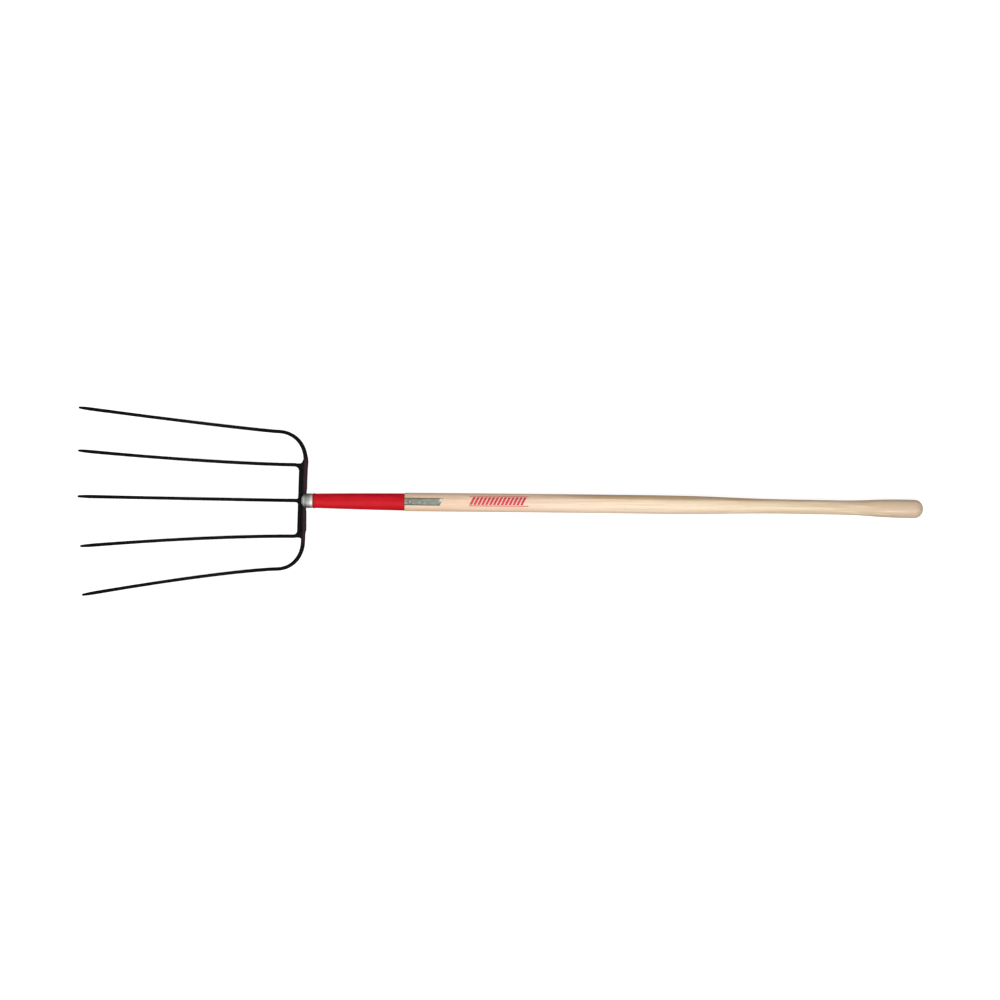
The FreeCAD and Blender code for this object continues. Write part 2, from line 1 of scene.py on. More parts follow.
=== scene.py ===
"""Hay fork: its looks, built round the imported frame.

Every mesh is drawn in the tool's own frame, in millimetres, as the tool would lie on a
bench: handle axis on X, tips at -X, the seam of the crossbar at X = 0 and the hollow side
of the tines up. TOOL carries that frame to the floor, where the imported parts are.
"""
import math

import bmesh
import bpy
from mathutils import Matrix, Vector, noise


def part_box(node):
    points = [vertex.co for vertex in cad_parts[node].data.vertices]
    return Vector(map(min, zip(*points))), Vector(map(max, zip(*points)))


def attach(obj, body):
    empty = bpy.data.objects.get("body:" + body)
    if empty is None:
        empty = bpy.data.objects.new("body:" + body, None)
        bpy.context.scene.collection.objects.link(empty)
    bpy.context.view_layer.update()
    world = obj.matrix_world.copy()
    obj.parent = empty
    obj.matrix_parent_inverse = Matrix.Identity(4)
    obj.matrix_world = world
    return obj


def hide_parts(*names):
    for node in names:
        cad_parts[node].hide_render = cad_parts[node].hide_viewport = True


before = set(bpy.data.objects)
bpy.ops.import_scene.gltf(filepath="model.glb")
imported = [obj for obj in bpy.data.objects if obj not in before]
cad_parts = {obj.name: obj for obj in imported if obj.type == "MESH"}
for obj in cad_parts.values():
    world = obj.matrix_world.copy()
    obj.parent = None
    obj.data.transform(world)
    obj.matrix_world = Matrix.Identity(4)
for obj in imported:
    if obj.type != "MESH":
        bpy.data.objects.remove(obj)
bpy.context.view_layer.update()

MM = 0.001

# Where the tool lies: the rivet's middle is a known point of its axis
PITCH = math.radians(1.2336)
RIVET_PLACE = 215.0

# Rods of the head; a pair gives the tine towards +Y, then the one towards -Y
BAR_RADIUS = 4.3
BAR_PITCH = 8.4
BAR_DROP = 8.4
BAR_SKEW = math.tan(math.radians(1.06))  # the crossbar isn't quite square to the handle
SHOULDER_LENGTH = 56.5
SHOULDER_WIDTH = 58.7
SHOULDER_HALF_SPAN = 137.7
OUTER_TIPS = (180.0, 194.4)
OUTER_REACHES = (448.7, 437.2)
OUTER_FLARES = (1.1, 1.25)
INNER_BEND = 13.0
INNER_HALF_SPAN = 71.5
INNER_TIPS = (94.0, 97.0)
INNER_REACHES = (448.7, 442.2)
INNER_FLARES = (1.55, 1.55)
CORNER_POWER = 0.93
CORNER_STEP = 3.0
CORNER_MIN_STEPS = 8
CENTER_REACH = 448.7
CENTER_ROOT = 12.0
CENTER_BLEND = 100.0
CENTER_TIP = 2.5
CENTER_FLARE = 1.5
TANG = ((8.0, 4.3), (40.0, 4.0), (100.0, 3.5), (146.0, 3.1), (150.0, 2.2))
BEND_START = 9.0
BEND_RADIUS = 60.0
BEND_ANGLE = math.radians(24.0)
BELLY_RADIUS = 360.0
SWEEP_RADIUS = 560.0
TINE_HALF_WIDTH = 3.6
TINE_HALF_DEPTH = 4.2
TINE_THINNING = 0.3
POINT_HALF_DEPTH = 3.4
POINT_LENGTH = 30.0
POINT_BLUNTNESS = 0.45
POINT_POWER = 0.5
POINT_ROUND = 0.9
POINT_STEPS = 16
POINT_FIRST = 0.01
ROD_SIDES = 24
ROD_STEP = 5.0
HAMMER_SIZE = 11.0
HAMMER_DEPTH = 0.035

# Welds; the outlines are corners seen from above, as (x, y) from the seam's middle
WELD_LAYERS = 9
WELD_LUMP_SIZE = 2.6
FILLET_OUTLINE = ((-18.0, 74.2), (-6.5, 74.4), (2.5, 86.0), (2.5, 59.0), (-2.0, 59.0))
FILLET_RADIUS = 9.5
LONG_PAD = (
    (4.0, 102.0),
    (8.0, 95.0),
    (10.7, 86.0),
    (11.5, 77.0),
    (10.6, 64.0),
    (9.9, 46.0),
    (9.5, 22.0),
    (4.0, 18.0),
)
SHORT_PAD = (
    (2.0, -16.0),
    (8.8, -20.0),
    (9.1, -42.0),
    (9.3, -58.0),
    (7.6, -65.0),
    (4.2, -71.5),
    (0.0, -72.0),
)
SADDLE_OUTLINE = ((-16.5, -2.4), (-6.5, -10.5), (-1.5, -10.5), (-1.5, 9.0), (-6.5, 9.0), (-13.0, 2.4))
SADDLE_LEVEL = -6.0
SADDLE_CLIMB = 0.34
SEAM_HALF_LENGTH = 58.0
SEAM_HALF_WIDTH = 1.75
SEAM_RIPPLE = 2.4
SEAM_RISE = 2.0

# Handle, ferrule and straps
LATHE_SIDES = 96
HANDLE_NOSE = 10.4
HANDLE_END = 1242.7
HANDLE_BOW = 1.8
SHAFT_RADIUS = 18.5
SHAFT_END = 715.3
WAIST_START = 985.0
WAIST_END = 1075.0
WAIST_RADIUS = 14.25
BUTT_START = 1203.0
BUTT_RADIUS = 18.3
STRAP_HALF_WIDTH = 7.25
STRAP_OFFSET = 1.1
STRAP_FRONT = 13.5
STRAP_LONG_END = 281.3
STRAP_SHORT_END = 274.3
STRAP_THICKNESS = 1.6
STRAP_BEVEL = 5.0
STRAP_FILED = 1.1
STRAP_EDGE = 0.45
STRAP_END_RADIUS = 18.3
RECESS_CLEAR = 0.35
RECESS_TOP = 22.0
SEAT_FRONT_RADIUS = 12.9
SEAT_RADIUS = 16.0
SEAT_END = 204.5
SLEEVE_FRONT = 20.4
SLEEVE_BEAD_END = 27.0
SLEEVE_END = 204.3
CAP_OUTER = 14.6
CAP_INNER = 13.2
CAP_CENTER = 11.9
CAP_HOLE = 4.5
CAP_RIM = 20.1


# Frame

def middle(node):
    """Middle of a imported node's box."""
    low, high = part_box(node)
    return (low + high) / 2


TURN = Matrix.Rotation(PITCH, 4, "Y")
TOOL_ORIGIN = middle("strap_rivet") - TURN.to_3x3() @ Vector((RIVET_PLACE * MM, 0, 0))
TOOL = Matrix.Translation(TOOL_ORIGIN) @ TURN @ Matrix.Scale(MM, 4)


# Meshes

def add_solid(name, points, faces):
    """Closed mesh object from points in the tool's frame, its faces turned outwards."""
    mesh = bpy.data.meshes.new(name)
    mesh.from_pydata(points, [], faces)
    mesh.transform(TOOL)
    draft = bmesh.new()
    draft.from_mesh(mesh)
    bmesh.ops.recalc_face_normals(draft, faces=draft.faces)
    if draft.calc_volume(signed=True) < 0:
        bmesh.ops.reverse_faces(draft, faces=draft.faces)
    draft.to_mesh(mesh)
    draft.free()
    item = bpy.data.objects.new(name, mesh)
    bpy.context.scene.collection.objects.link(item)
    return item


def add_piece(name, points, faces, material, slot, nodes=()):
    """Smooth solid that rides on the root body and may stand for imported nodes."""
    item = add_solid(name, points, faces)
    item.data.shade_smooth()
    item.data.materials.append(material)
    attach(item, "root")
    if nodes:
        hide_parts(*nodes)
    return item


def sharpen(item, degrees=35.0):
    """Keep edges that turn by more than this angle crisp."""
    item.data.set_sharp_from_angle(angle=math.radians(degrees))


def bridge(rings, closed=False):
    """Quads between rings of points; the rings close on themselves."""
    count = len(rings[0])
    faces = []
    pairs = len(rings) if closed else len(rings) - 1
    for ring in range(pairs):
        start = ring * count
        after = (ring + 1) % len(rings) * count
        for index in range(count):
            step = (index + 1) % count
            faces.append((start + index, after + index, after + step, start + step))
    return faces


def skin(rings):
    """Points and faces of a closed tube through the rings, with a fan at each end."""
    points = [point for ring in rings for point in ring]
    faces = bridge(rings)
    count = len(rings[0])
    for ring, turn in ((0, 1), (len(rings) - 1, -1)):
        hub = len(points)
        points.append(sum((Vector(p) for p in rings[ring]), Vector()) / count)
        base = ring * count
        for index in range(count):
            edge = [base + index, base + (index + 1) % count, hub]
            faces.append(edge[::turn])
    return points, faces


def ring_about_x(x, radius):
    """Circle of points round the tool's axis."""
    turns = [2 * math.pi * index / LATHE_SIDES for index in range(LATHE_SIDES)]
    return [Vector((x, radius * math.sin(a), radius * math.cos(a))) for a in turns]


def arc_points(start, stop, radius, turn, count):
    """Points of a profile's arc, without its start."""
    start = Vector(start)
    stop = Vector(stop)
    chord = stop - start
    normal = Vector((-chord.y, chord.x)).normalized()
    rise = math.sqrt(max(radius**2 - chord.length**2 / 4, 0.0))
    center = (start + stop) / 2 + normal * rise * turn
    first = start - center
    sweep = first.angle_signed(stop - center)
    points = []
    for index in range(1, count + 1):
        angle = -sweep * index / count
        cosine = math.cos(angle)
        sine = math.sin(angle)
        spoke = Vector((first.x * cosine - first.y * sine, first.x * sine + first.y * cosine))
        points.append(center + spoke)
    return points


def straight_points(start, stop, step):
    """Points of a profile's straight stretch, without its start."""
    start = Vector(start)
    stop = Vector(stop)
    count = max(1, round((stop - start).length / step))
    return [start.lerp(stop, index / count) for index in range(1, count + 1)]


# Rods

def side_height(x):
    """Height of every tine's centre line at a place x in front of the crossbar."""
    ahead = -x - BEND_START
    bend_run = BEND_RADIUS * math.sin(BEND_ANGLE)
    belly_run = BELLY_RADIUS * math.sin(BEND_ANGLE)
    fall = 1 - math.cos(BEND_ANGLE)
    lowest = -BAR_DROP - (BEND_RADIUS + BELLY_RADIUS) * fall
    if ahead <= 0:
        return -BAR_DROP
    if ahead < bend_run:
        return -BAR_DROP - BEND_RADIUS + math.sqrt(BEND_RADIUS**2 - ahead**2)
    past_low = ahead - bend_run - belly_run
    radius = BELLY_RADIUS if past_low < 0 else SWEEP_RADIUS
    return lowest + radius - math.sqrt(radius**2 - past_low**2)


def smooth(part):
    """Ease from 0 to 1."""
    part = min(max(part, 0.0), 1.0)
    return part * part * (3 - 2 * part)


def center_height(x):
    """Height of the middle tine, which leaves the common curve to cross over both bars."""
    return side_height(x) + BAR_DROP * smooth(1 - (-x - CENTER_ROOT) / CENTER_BLEND)


def point_scale(from_tip):
    """How much a tine narrows at a distance from its tip; the very tip is rounded off."""
    part = min(from_tip / POINT_LENGTH, 1.0)
    scale = POINT_BLUNTNESS + (1 - POINT_BLUNTNESS) * math.sin(part * math.pi / 2) ** POINT_POWER
    missing = 1 - min(from_tip / POINT_ROUND, 1.0)
    return scale * math.sqrt(1 - missing**2)


def tine_stations(start_x, reach, start_y, tip_y, flare, height=side_height):
    """Centre and half sizes of the sections from the tip back to start_x."""
    run = reach + start_x
    body = run - POINT_LENGTH
    body_steps = round(body / ROD_STEP)
    from_tips = [POINT_FIRST]
    from_tips += [POINT_LENGTH * (index / POINT_STEPS) ** 2 for index in range(1, POINT_STEPS)]
    from_tips += [POINT_LENGTH + body * index / body_steps for index in range(body_steps + 1)]
    stations = []
    for from_tip in from_tips:
        along = 1 - from_tip / run
        x = start_x - along * run
        y = start_y + (tip_y - start_y) * along**flare
        width = TINE_HALF_WIDTH - TINE_THINNING * math.sin(math.pi * along)
        depth = TINE_HALF_DEPTH + (POINT_HALF_DEPTH - TINE_HALF_DEPTH) * along
        scale = point_scale(from_tip)
        stations.append((Vector((x, y, height(x))), width * scale, depth * scale))
    return stations


def corner_stations(side, corner_x, corner_y, length, width):
    """Sections round a slightly squared quarter turn from a tine to its bar, growing to its size."""
    turns = max(CORNER_MIN_STEPS, round(length / CORNER_STEP))
    stations = []
    for count in range(1, turns + 1):
        part = count / turns
        angle = part * math.pi / 2
        y = corner_y - width + width * max(math.cos(angle), 0.0) ** CORNER_POWER
        x = corner_x + length * math.sin(angle) ** CORNER_POWER + side * y * BAR_SKEW * part
        grown = smooth(part)
        half_width = TINE_HALF_WIDTH + (BAR_RADIUS - TINE_HALF_WIDTH) * grown
        half_depth = TINE_HALF_DEPTH + (BAR_RADIUS - TINE_HALF_DEPTH) * grown
        stations.append((Vector((x, side * y, side_height(x))), half_width, half_depth))
    return stations


def bar_stations(bar_x, half_length):
    """Round sections along the straight part of a bar, from +Y to -Y."""
    count = round(half_length / ROD_STEP)
    places = [half_length * (1 - index / count) for index in range(1, 2 * count)]
    return [(Vector((bar_x + y * BAR_SKEW, y, -BAR_DROP)), BAR_RADIUS, BAR_RADIUS) for y in places]


def rod_rings(stations):
    """Oval rings across the line through the stations, with the hammer's slight unevenness."""
    centers = [station[0] for station in stations]
    rings = []
    for index, (center, half_width, half_depth) in enumerate(stations):
        before = centers[max(index - 1, 0)]
        after = centers[min(index + 1, len(centers) - 1)]
        tangent = (after - before).normalized()
        across = tangent.cross(Vector((0, 0, 1))).normalized()
        upward = across.cross(tangent).normalized()
        ring = []
        for side in range(ROD_SIDES):
            angle = 2 * math.pi * side / ROD_SIDES
            offset = across * (half_width * math.cos(angle)) + upward * (half_depth * math.sin(angle))
            dent = noise.noise((center + offset * 2) / HAMMER_SIZE) * HAMMER_DEPTH
            ring.append(center + offset * (1 + dent))
        rings.append(ring)
    return rings


def add_rod(name, stations, material):
    """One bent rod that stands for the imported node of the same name."""
    points, faces = skin(rod_rings(stations))
    return add_piece(name + "_forged", points, faces, material, "black_steel", [name])


def bow_stations(bar_x, corner_length, corner_width, half_span, tips, reaches, flares):
    """Two tines and the bar between them."""
    tines = []
    for side, tip, reach, flare in zip((1, -1), tips, reaches, flares):
        start_x = bar_x - corner_length
        straight = tine_stations(start_x, reach, side * half_span, side * tip, flare)
        tines.append(straight + corner_stations(side, start_x, half_span, corner_length, corner_width))
    return tines[0] + bar_stations(bar_x, half_span - corner_width) + tines[1][::-1]


def add_head(steel):
    """The two bows and the middle tine."""
    outer = bow_stations(
        BAR_PITCH / 2,
        SHOULDER_LENGTH,
        SHOULDER_WIDTH,
        SHOULDER_HALF_SPAN,
        OUTER_TIPS,
        OUTER_REACHES,
        OUTER_FLARES,
    )
    inner = bow_stations(
        -BAR_PITCH / 2,
        INNER_BEND,
        INNER_BEND,
        INNER_HALF_SPAN,
        INNER_TIPS,
        INNER_REACHES,
        INNER_FLARES,
    )
    add_rod("outer_tine_bow", outer, steel)
    add_rod("inner_tine_bow", inner, steel)
    center = tine_stations(-CENTER_ROOT, CENTER_REACH, 0.0, CENTER_TIP, CENTER_FLARE, center_height)
    center += [(Vector((x, 0, 0)), TINE_HALF_WIDTH, TINE_HALF_DEPTH) for x in (-8.0, -4.0, 0.0)]
    center += [(Vector((x, 0, 0)), radius, radius) for x, radius in TANG]
    add_rod("center_tine", center, steel)


# Welds

def pillow(outline, level, half_height, lump, climb=0.0):
    """Rings of a blob over a plan outline, lumpy like laid weld.

    climb is how much its front rises per millimetre before the crossbar.
    """
    heart = sum((Vector(p) for p in outline), Vector((0, 0))) / len(outline)
    rings = []
    for layer in range(WELD_LAYERS):
        angle = math.pi * (layer / (WELD_LAYERS - 1) - 0.5) * 0.96
        spread = math.cos(angle) ** 0.5
        height = level + half_height * math.sin(angle)
        ring = []
        for point in outline:
            flat = heart + (Vector(point) - heart) * spread
            lift = climb * max(-flat.x - BAR_PITCH, 0.0)
            place = Vector((flat.x, flat.y, height + lift))
            out = Vector((flat.x - heart.x, flat.y - heart.y, height - level)).normalized()
            ring.append(place + out * noise.noise(place / WELD_LUMP_SIZE) * lump)
        rings.append(ring)
    return rings


def plan_curve(corners, arcs):
    """Dense outline through corners; arcs maps a corner's number to (radius, turn)."""
    step = 1.6
    points = []
    for index, start in enumerate(corners):
        stop = corners[(index + 1) % len(corners)]
        if index in arcs:
            radius, turn = arcs[index]
            points += arc_points(start, stop, radius, turn, 10)
        else:
            points += straight_points(start, stop, step)
    return points


def join(groups):
    """Points and faces of several closed shapes as one mesh."""
    points = []
    faces = []
    for group_points, group_faces in groups:
        base = len(points)
        points += group_points
        faces += [tuple(base + index for index in face) for face in group_faces]
    return points, faces


def seam_bead(level):
    """Rippled bead of weld along the valley between the two bars."""
    steps = 160
    stations = []
    for index in range(steps + 1):
        y = SEAM_HALF_LENGTH * (1 - 2 * index / steps)
        wave = 0.16 * abs(math.sin(math.pi * y / SEAM_RIPPLE))
        rounding = math.sqrt(max(1 - (y / (SEAM_HALF_LENGTH + 0.4)) ** 8, 0.02))
        width = (SEAM_HALF_WIDTH + wave) * rounding
        stations.append((Vector((y * BAR_SKEW, y, level)), width, width * 0.8))
    return skin(rod_rings(stations))


def add_welds(weld):
    """Seam of the crossbar, fillets and rear pads, saddle of the middle tine."""
    seams = join([seam_bead(-BAR_DROP + SEAM_RISE), seam_bead(-BAR_DROP - SEAM_RISE)])
    add_piece("crossbar_weld_bead", *seams, weld, "weld", ["crossbar_weld"])
    fillets = []
    for side in (1, -1):
        corners = [(x, side * y) for x, y in FILLET_OUTLINE]
        outline = plan_curve(corners, {1: (FILLET_RADIUS, side)})
        fillets.append(skin(pillow(outline, -BAR_DROP, 3.6, 0.5)))
    for corners in (LONG_PAD, SHORT_PAD):
        fillets.append(skin(pillow(plan_curve(corners, {}), -BAR_DROP, 3.5, 0.35)))
    add_piece("corner_weld_fillets", *join(fillets), weld, "weld", ["corner_welds"])
    outline = plan_curve(SADDLE_OUTLINE, {0: (11.0, -1), 4: (10.0, -1)})
    saddle = skin(pillow(outline, SADDLE_LEVEL, 3.2, 0.5, SADDLE_CLIMB))
    add_piece("tang_weld_saddle", *saddle, weld, "weld", ["tang_weld"])


# Turned pieces

def bow_of(x):
    """How far the handle's wood has bent sideways at x: ash never stays quite straight."""
    part = (x - SEAT_END) / (HANDLE_END - SEAT_END)
    return HANDLE_BOW * math.sin(math.pi * min(max(part, 0.0), 1.0))


def bowed(points):
    """Points moved with the handle's bow."""
    return [Vector((p.x, p.y + bow_of(p.x), p.z)) for p in points]


def lathe(profile, closed):
    """Points and faces of a profile of (x, radius) turned about the tool's axis."""
    rings = [ring_about_x(x, radius) for x, radius in profile]
    if closed:
        return [point for ring in rings for point in ring], bridge(rings, closed=True)
    return skin(rings)


def add_sleeve(paint):
    """Red sleeve with a rolled front bead and a rolled-in rear edge."""
    profile = [Vector((SLEEVE_FRONT, 13.25)), Vector((SLEEVE_FRONT, 14.1))]
    profile += arc_points(profile[-1], (SLEEVE_BEAD_END, 14.5), 6.45, -1, 14)
    profile += arc_points(profile[-1], (203.7, 17.2), 11000.0, -1, 60)
    profile += arc_points(profile[-1], (SLEEVE_END, 16.7), 0.6, -1, 6)
    profile += [Vector((SLEEVE_END, 16.15))]
    profile += straight_points(profile[-1], profile[0], 12.0)[:-1]
    turned = lathe(profile, True)
    item = add_piece("ferrule_sleeve_enamel", *turned, paint, "red_paint", ["ferrule_sleeve"])
    sharpen(item)


def cut_away(item, cutter_points, cutter_faces):
    """Take a closed shape out of a piece, then drop the cutter."""
    cutter = add_solid("cutter", cutter_points, cutter_faces)
    modifier = item.modifiers.new("cut", "BOOLEAN")
    modifier.operation = "DIFFERENCE"
    modifier.solver = "EXACT"
    modifier.object = cutter
    bpy.context.view_layer.update()
    graph = bpy.context.evaluated_depsgraph_get()
    result = bpy.data.meshes.new_from_object(item.evaluated_get(graph))
    item.modifiers.clear()
    item.data = result
    bpy.data.objects.remove(cutter)


def prism(outline, low, high):
    """Closed prism over a plan outline of (x, y), from low to high in Z."""
    rings = [[Vector((x, y, z)) for x, y in outline] for z in (low, high)]
    return skin(rings)


def add_cap(zinc):
    """Bright domed cap with a hole for the middle tine, notched over the crossbar."""
    edge = 0.4
    front = CAP_CENTER - math.sqrt(CAP_OUTER**2 - CAP_HOLE**2)
    inner_front = CAP_CENTER - math.sqrt(CAP_INNER**2 - CAP_HOLE**2)
    profile = [Vector((front, CAP_HOLE))]
    profile += arc_points(profile[-1], (CAP_CENTER, CAP_OUTER), CAP_OUTER, -1, 22)
    profile += straight_points(profile[-1], (19.7, CAP_OUTER), 1.5)
    profile += arc_points(profile[-1], (CAP_RIM, 14.2), edge, -1, 4)
    profile += [Vector((CAP_RIM, CAP_INNER)), Vector((CAP_CENTER, CAP_INNER))]
    profile += arc_points(profile[-1], (inner_front, CAP_HOLE), CAP_INNER, 1, 12)
    item = add_piece("ferrule_cap_bright", *lathe(profile, True), zinc, "zinc", ["ferrule_cap"])
    notch_back = 9.0
    notch_top = -3.95
    past = 25.0
    notch = [(-20.0, -past), (notch_back, -past), (notch_back, past), (-20.0, past)]
    cut_away(item, *prism(notch, -past, notch_top))
    sharpen(item)


def strap_end(y):
    """Where the strap's slanted end lies at y."""
    part = (y + STRAP_HALF_WIDTH) / (2 * STRAP_HALF_WIDTH)
    return STRAP_SHORT_END + (STRAP_LONG_END - STRAP_SHORT_END) * part


def strap_radius(x):
    """Outer radius of the strap: along the seat, then up to the shaft's surface."""
    if x < SEAT_END:
        rise = SEAT_RADIUS - SEAT_FRONT_RADIUS
        return SEAT_FRONT_RADIUS + rise * (x - STRAP_FRONT) / (SEAT_END - STRAP_FRONT)
    rise = STRAP_END_RADIUS - SEAT_RADIUS
    return SEAT_RADIUS + rise * (x - SEAT_END) / (STRAP_LONG_END - SEAT_END)


def add_strap(name, side, zinc):
    """Strap let into one face of the handle, its slanted end filed to a bevel."""
    lengths = 72
    widths = 12
    rings = []
    for index in range(lengths + 1):
        part = 1 - (1 - index / lengths) ** 2 if index > lengths * 0.5 else index / lengths * 1.5
        part = min(part, 1.0)
        top = []
        bottom = []
        for column in range(widths + 1):
            across = -math.cos(math.pi * column / widths)
            end = strap_end(STRAP_HALF_WIDTH * across)
            y = STRAP_HALF_WIDTH * across + side * STRAP_OFFSET
            x = STRAP_FRONT + part * (end - STRAP_FRONT)
            radius = strap_radius(x)
            filed = STRAP_FILED * smooth((x - end + STRAP_BEVEL) / STRAP_BEVEL)
            rounded = STRAP_EDGE * abs(across) ** 14
            top.append(Vector((x, y, side * (math.sqrt(radius**2 - y**2) - filed - rounded))))
            base = radius - STRAP_THICKNESS
            bottom.append(Vector((x, y, side * (math.sqrt(base**2 - y**2) + rounded * 0.3))))
        ring = top + bottom[::-1]
        rings.append(ring if side > 0 else ring[::-1])
    item = add_piece(name + "_plated", *skin(rings), zinc, "zinc", [name])
    sharpen(item, 40.0)


def add_rivet(zinc):
    """Rivet with a low domed head, a little out of round, at each end."""
    count = 32
    base = 15.0
    crown = 18.3
    shank = [(2.5, 0.0), (2.5, base)]
    head = [(4.6, base), (4.75, 16.6), (4.3, 17.3), (3.3, 17.9), (1.9, 18.2), (0.6, crown)]
    profile = shank + head
    rings = []
    for radius, level in [(r, -z) for r, z in profile[:0:-1]] + profile:
        ring = []
        for index in range(count):
            angle = 2 * math.pi * index / count
            uneven = radius * (1 + 0.02 * math.sin(2 * angle + level))
            y = uneven * math.sin(angle) + STRAP_OFFSET * level / crown
            ring.append(Vector((RIVET_PLACE + uneven * math.cos(angle), y, level)))
        rings.append(ring)
    item = add_piece("strap_rivet_peened", *skin(rings), zinc, "zinc", ["strap_rivet"])
    sharpen(item, 50.0)


def handle_profile():
    """Profile of the turned handle, from its nose to its rounded butt."""
    taper = 4280.0
    swell = 1013.0
    end_round = 17.0
    profile = [Vector((HANDLE_NOSE, 4.5)), Vector((HANDLE_NOSE, 10.9)), Vector((12.4, SEAT_FRONT_RADIUS))]
    profile += straight_points(profile[-1], (SEAT_END, SEAT_RADIUS), 8.0)
    profile += [Vector((SEAT_END, 17.5)), Vector((205.5, SHAFT_RADIUS))]
    profile += straight_points(profile[-1], (SHAFT_END, SHAFT_RADIUS), 5.0)
    profile += arc_points(profile[-1], (850.15, 16.375), taper, -1, 22)
    profile += arc_points(profile[-1], (WAIST_START, WAIST_RADIUS), taper, 1, 22)
    profile += straight_points(profile[-1], (WAIST_END, WAIST_RADIUS), 6.0)
    profile += arc_points(profile[-1], (1139.0, 16.275), swell, 1, 14)
    profile += arc_points(profile[-1], (BUTT_START, BUTT_RADIUS), swell, -1, 14)
    profile += straight_points(profile[-1], (1225.7, BUTT_RADIUS), 4.0)
    profile += arc_points(profile[-1], (HANDLE_END, 1.3), end_round, -1, 20)
    return profile


def recess_rings(side):
    """Rings of the shape that is cut out of one face of the handle for its strap."""
    half = STRAP_HALF_WIDTH + RECESS_CLEAR
    sections = (
        (5.0, SEAT_FRONT_RADIUS),
        (SEAT_END, SEAT_RADIUS),
        (STRAP_LONG_END + 1.5, STRAP_END_RADIUS + 0.05),
    )
    rings = []
    for x_front, radius in sections:
        floor = math.sqrt((radius - STRAP_THICKNESS) ** 2 - (half + STRAP_OFFSET) ** 2) - 0.1
        ring = []
        for y, height in ((-half, floor), (half, floor), (half, RECESS_TOP), (-half, RECESS_TOP)):
            x = min(x_front, strap_end(y) + RECESS_CLEAR) if x_front > SEAT_END else x_front
            ring.append(Vector((x, y + side * STRAP_OFFSET, side * height)))
        rings.append(ring if side > 0 else ring[::-1])
    return rings


def add_handle(wood):
    """Turned ash handle with the two recesses for the straps."""
    points, faces = lathe(handle_profile(), False)
    item = add_piece("handle_turned", bowed(points), faces, wood, "ash_wood", ["handle"])
    for side in (1, -1):
        cut_away(item, *skin(recess_rings(side)))
    sharpen(item, 30.0)


# Printed band

def print_mark(corners, depth):
    """Thin closed patch of ink over a four-cornered place on the shaft: corners are (x, angle)."""
    steps = 6
    layers = []
    for radius in (SHAFT_RADIUS + depth, SHAFT_RADIUS - depth):
        rows = []
        for index in range(steps + 1):
            part = index / steps
            row = []
            for first, last in ((corners[0], corners[1]), (corners[3], corners[2])):
                x = first[0] + (last[0] - first[0]) * part
                angle = first[1] + (last[1] - first[1]) * part
                row.append(Vector((x, radius * math.sin(angle), radius * math.cos(angle))))
            rows.append(row)
        layers.append(rows)
    rings = [[top[0], top[1], under[1], under[0]] for top, under in zip(*layers)]
    return skin(rings)


def add_print(ink):
    """Plain printed band: a row of slanted bars between two thin rules."""
    first = 334.0
    last = 452.0
    depth = 0.06
    middle_angle = 0.19
    half = 0.43
    lean = 8.0
    bar = 5.2
    pitch = 7.8
    marks = []
    count = int((last - first - lean) / pitch)
    for index in range(count):
        x = first + index * pitch
        corners = [
            (x, middle_angle - half),
            (x + lean, middle_angle + half),
            (x + lean + bar, middle_angle + half),
            (x + bar, middle_angle - half),
        ]
        marks.append(print_mark(corners, depth))
    for offset in (-half - 0.12, half + 0.12):
        low = middle_angle + offset - 0.04
        high = middle_angle + offset + 0.04
        marks.append(print_mark([(first, low), (first, high), (last, high), (last, low)], depth))
    points, faces = join(marks)
    add_piece("printed_band", bowed(points), faces, ink, "red_paint")


# Finishes

